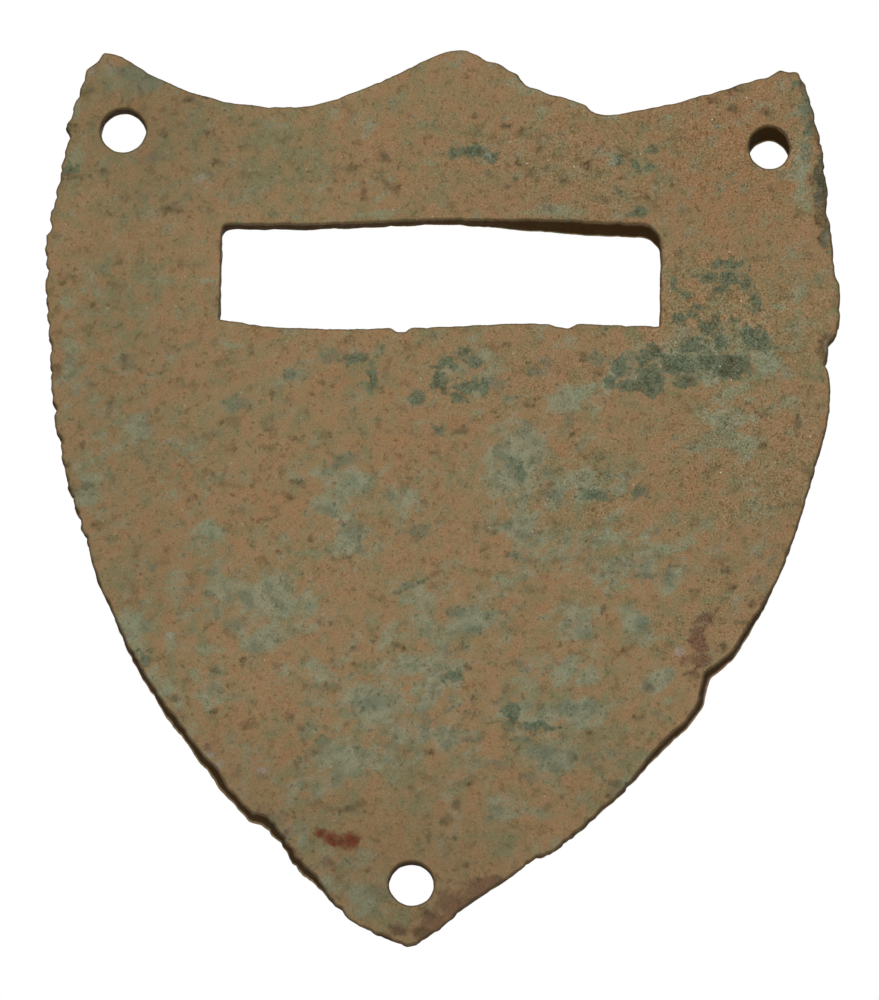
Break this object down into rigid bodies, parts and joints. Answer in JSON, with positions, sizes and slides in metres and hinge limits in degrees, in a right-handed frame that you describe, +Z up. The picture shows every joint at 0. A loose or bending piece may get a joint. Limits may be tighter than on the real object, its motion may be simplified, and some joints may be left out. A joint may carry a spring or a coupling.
{
  "type": "cap badge plate",
  "caption": "Shield-shaped cap badge plate with a rectangular window slot and fixing holes, in corroded sheet copper alloy.",
  "frame": {"origin": "on the back face, at the middle of the plate's width and height", "axes": "+X to the right seen from the front, +Z up towards the centre hump, +Y out of the back face, towards what the badge is fixed to"},
  "size_m": [0.0556, 0.0016, 0.0638],
  "materials": {
    "patinated_alloy": "matte earthy brown corrosion crust with green and dark teal patches, pitted, never polished"
  },
  "bodies": {
    "root": {"shield_plate": "patinated_alloy"}
  },
  "joints": []
}
